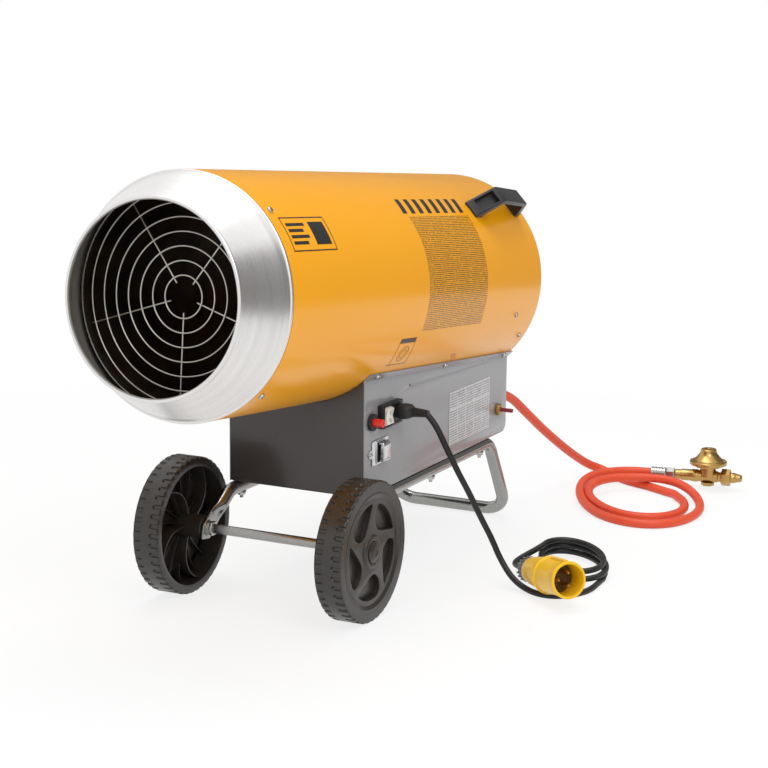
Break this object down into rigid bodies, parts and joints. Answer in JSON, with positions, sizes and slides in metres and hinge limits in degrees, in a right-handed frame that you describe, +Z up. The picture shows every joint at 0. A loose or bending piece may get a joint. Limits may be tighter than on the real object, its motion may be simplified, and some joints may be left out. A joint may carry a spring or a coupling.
{
  "type": "forced air heater",
  "caption": "Gas fired forced air heater: tilted cylindrical shell with steel outlet cone and fan, on a control box and wheeled tube frame, with gas hose and mains cord.",
  "frame": {"origin": "on the ground, under the middle of the heater's length without its hose and cord, on the middle plane of the shell and the wheels", "axes": "+Z up; -X towards the hot air outlet; -Y towards the side with the controls"},
  "size_m": [1.2831, 0.5735, 0.6375],
  "materials": {
    "shell_paint": "gloss",
    "grey_paint": "satin",
    "dark_paint": "satin",
    "bright_sheet": "brushed",
    "dark_steel": "heat stained",
    "zinc": "bright zinc plated",
    "black_plastic": "fine grain",
    "red_plastic": "gloss",
    "dark_red_plastic": "gloss",
    "white_plastic": "gloss",
    "brass": "machined",
    "copper": "drawn",
    "hose_rubber": "satin",
    "cord_rubber": "satin",
    "plug_yellow": "gloss",
    "grey_plastic": "satin",
    "ceramic": "glazed"
  },
  "bodies": {
    "heater": {"outlet_cone": "bright_sheet", "outlet_guard": "zinc", "outer_shell": "shell_paint", "combustion_chamber": "dark_steel", "chamber_bracket_1": "dark_steel", "chamber_bracket_2": "dark_steel", "chamber_bracket_3": "dark_steel", "burner_bar": "dark_steel", "flame_holder": "dark_steel", "gas_nozzle": "brass", "spark_electrode": "ceramic", "thermocouple": "copper", "motor": "dark_paint", "motor_mount": "zinc", "inlet_guard": "zinc", "base_box": "dark_paint", "control_panel": "grey_paint", "far_panel": "grey_paint", "button_collar": "black_plastic", "switch_module": "black_plastic", "socket_plate": "zinc", "reset_nut": "brass", "gas_valve": "brass", "gas_pipe": "copper", "gas_inlet": "brass", "chassis_tube": "zinc", "axle": "zinc", "carrying_handle": "black_plastic", "cone_screw_1": "zinc", "cone_screw_2": "zinc", "cone_screw_3": "zinc", "cone_screw_4": "zinc", "panel_screw_1": "zinc", "panel_screw_2": "zinc", "panel_screw_3": "zinc", "gas_hose": "hose_rubber", "gas_hose_coil": "hose_rubber", "hose_ferrule": "zinc", "hose_nut": "zinc", "regulator_body": "brass", "regulator_bonnet": "brass", "cylinder_nut": "brass", "mains_connector": "black_plastic", "power_cord": "cord_rubber", "power_cord_coil": "cord_rubber", "power_cord_tail": "cord_rubber", "plug_cap_nut": "grey_plastic", "plug_body": "plug_yellow", "plug_shroud": "plug_yellow", "plug_insert": "dark_paint"},
    "wheel_near_body": {"wheel_near": "black_plastic", "hub_cap_near": "black_plastic"},
    "wheel_far_body": {"wheel_far": "black_plastic", "hub_cap_far": "black_plastic"},
    "fan_body": {"fan": "black_plastic"},
    "gas_button_body": {"gas_button": "red_plastic"},
    "reset_button_body": {"reset_button": "dark_red_plastic"},
    "rocker_body": {"rocker_switch": "white_plastic"},
    "flap_body": {"socket_flap": "zinc"}
  },
  "joints": [
    {"name": "wheel_near_spin", "type": "hinge", "parent": "heater", "child": "wheel_near_body", "pos_m": [-0.15333, -0.145, 0.1], "axis": [0, 1, 0], "continuous": true},
    {"name": "wheel_far_spin", "type": "hinge", "parent": "heater", "child": "wheel_far_body", "pos_m": [-0.15333, 0.145, 0.1], "axis": [0, 1, 0], "continuous": true},
    {"name": "fan_spin", "type": "hinge", "parent": "heater", "child": "fan_body", "pos_m": [0.36586, 0, 0.40389], "axis": [0.9956, 0, -0.0941], "continuous": true},
    {"name": "gas_button_press", "type": "slide", "parent": "heater", "child": "gas_button_body", "axis": [0, 1, 0], "range_m": [0, 0.005], "stiffness_N_per_m": 300},
    {"name": "reset_button_press", "type": "slide", "parent": "heater", "child": "reset_button_body", "axis": [0, 1, 0], "range_m": [0, 0.004], "stiffness_N_per_m": 300},
    {"name": "rocker_tilt", "type": "hinge", "parent": "heater", "child": "rocker_body", "pos_m": [-0.02183, -0.1163, 0.262], "axis": [1, 0, 0], "range_deg": [-12, 12]},
    {"name": "flap_swing", "type": "hinge", "parent": "heater", "child": "flap_body", "pos_m": [-0.02683, -0.1141, 0.2265], "axis": [1, 0, 0], "range_deg": [-90, 0], "stiffness_Nm_per_rad": 0.02}
  ]
}
